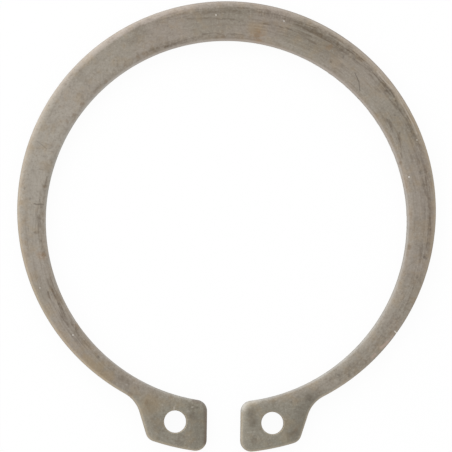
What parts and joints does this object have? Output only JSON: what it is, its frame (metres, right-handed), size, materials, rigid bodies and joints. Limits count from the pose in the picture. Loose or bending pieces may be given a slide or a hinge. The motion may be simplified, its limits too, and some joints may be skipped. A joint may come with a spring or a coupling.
{
  "type": "external retaining ring",
  "caption": "Flat open spring ring with a band that tapers to its mouth and lugs with plier holes; it springs into a groove on a shaft and holds parts in place.",
  "frame": {"origin": "centre of the bore, on the underside of the ring as it lies flat", "axes": "+Z along the bore's axis, up out of the face with rolled edges; -Y towards the mouth between the lugs"},
  "size_m": [0.053, 0.057, 0.002],
  "materials": {
    "spring_steel": "matt grey-brown tumbled spring steel with light stains"
  },
  "bodies": {
    "root": {"retaining_ring": "spring_steel"}
  },
  "joints": []
}
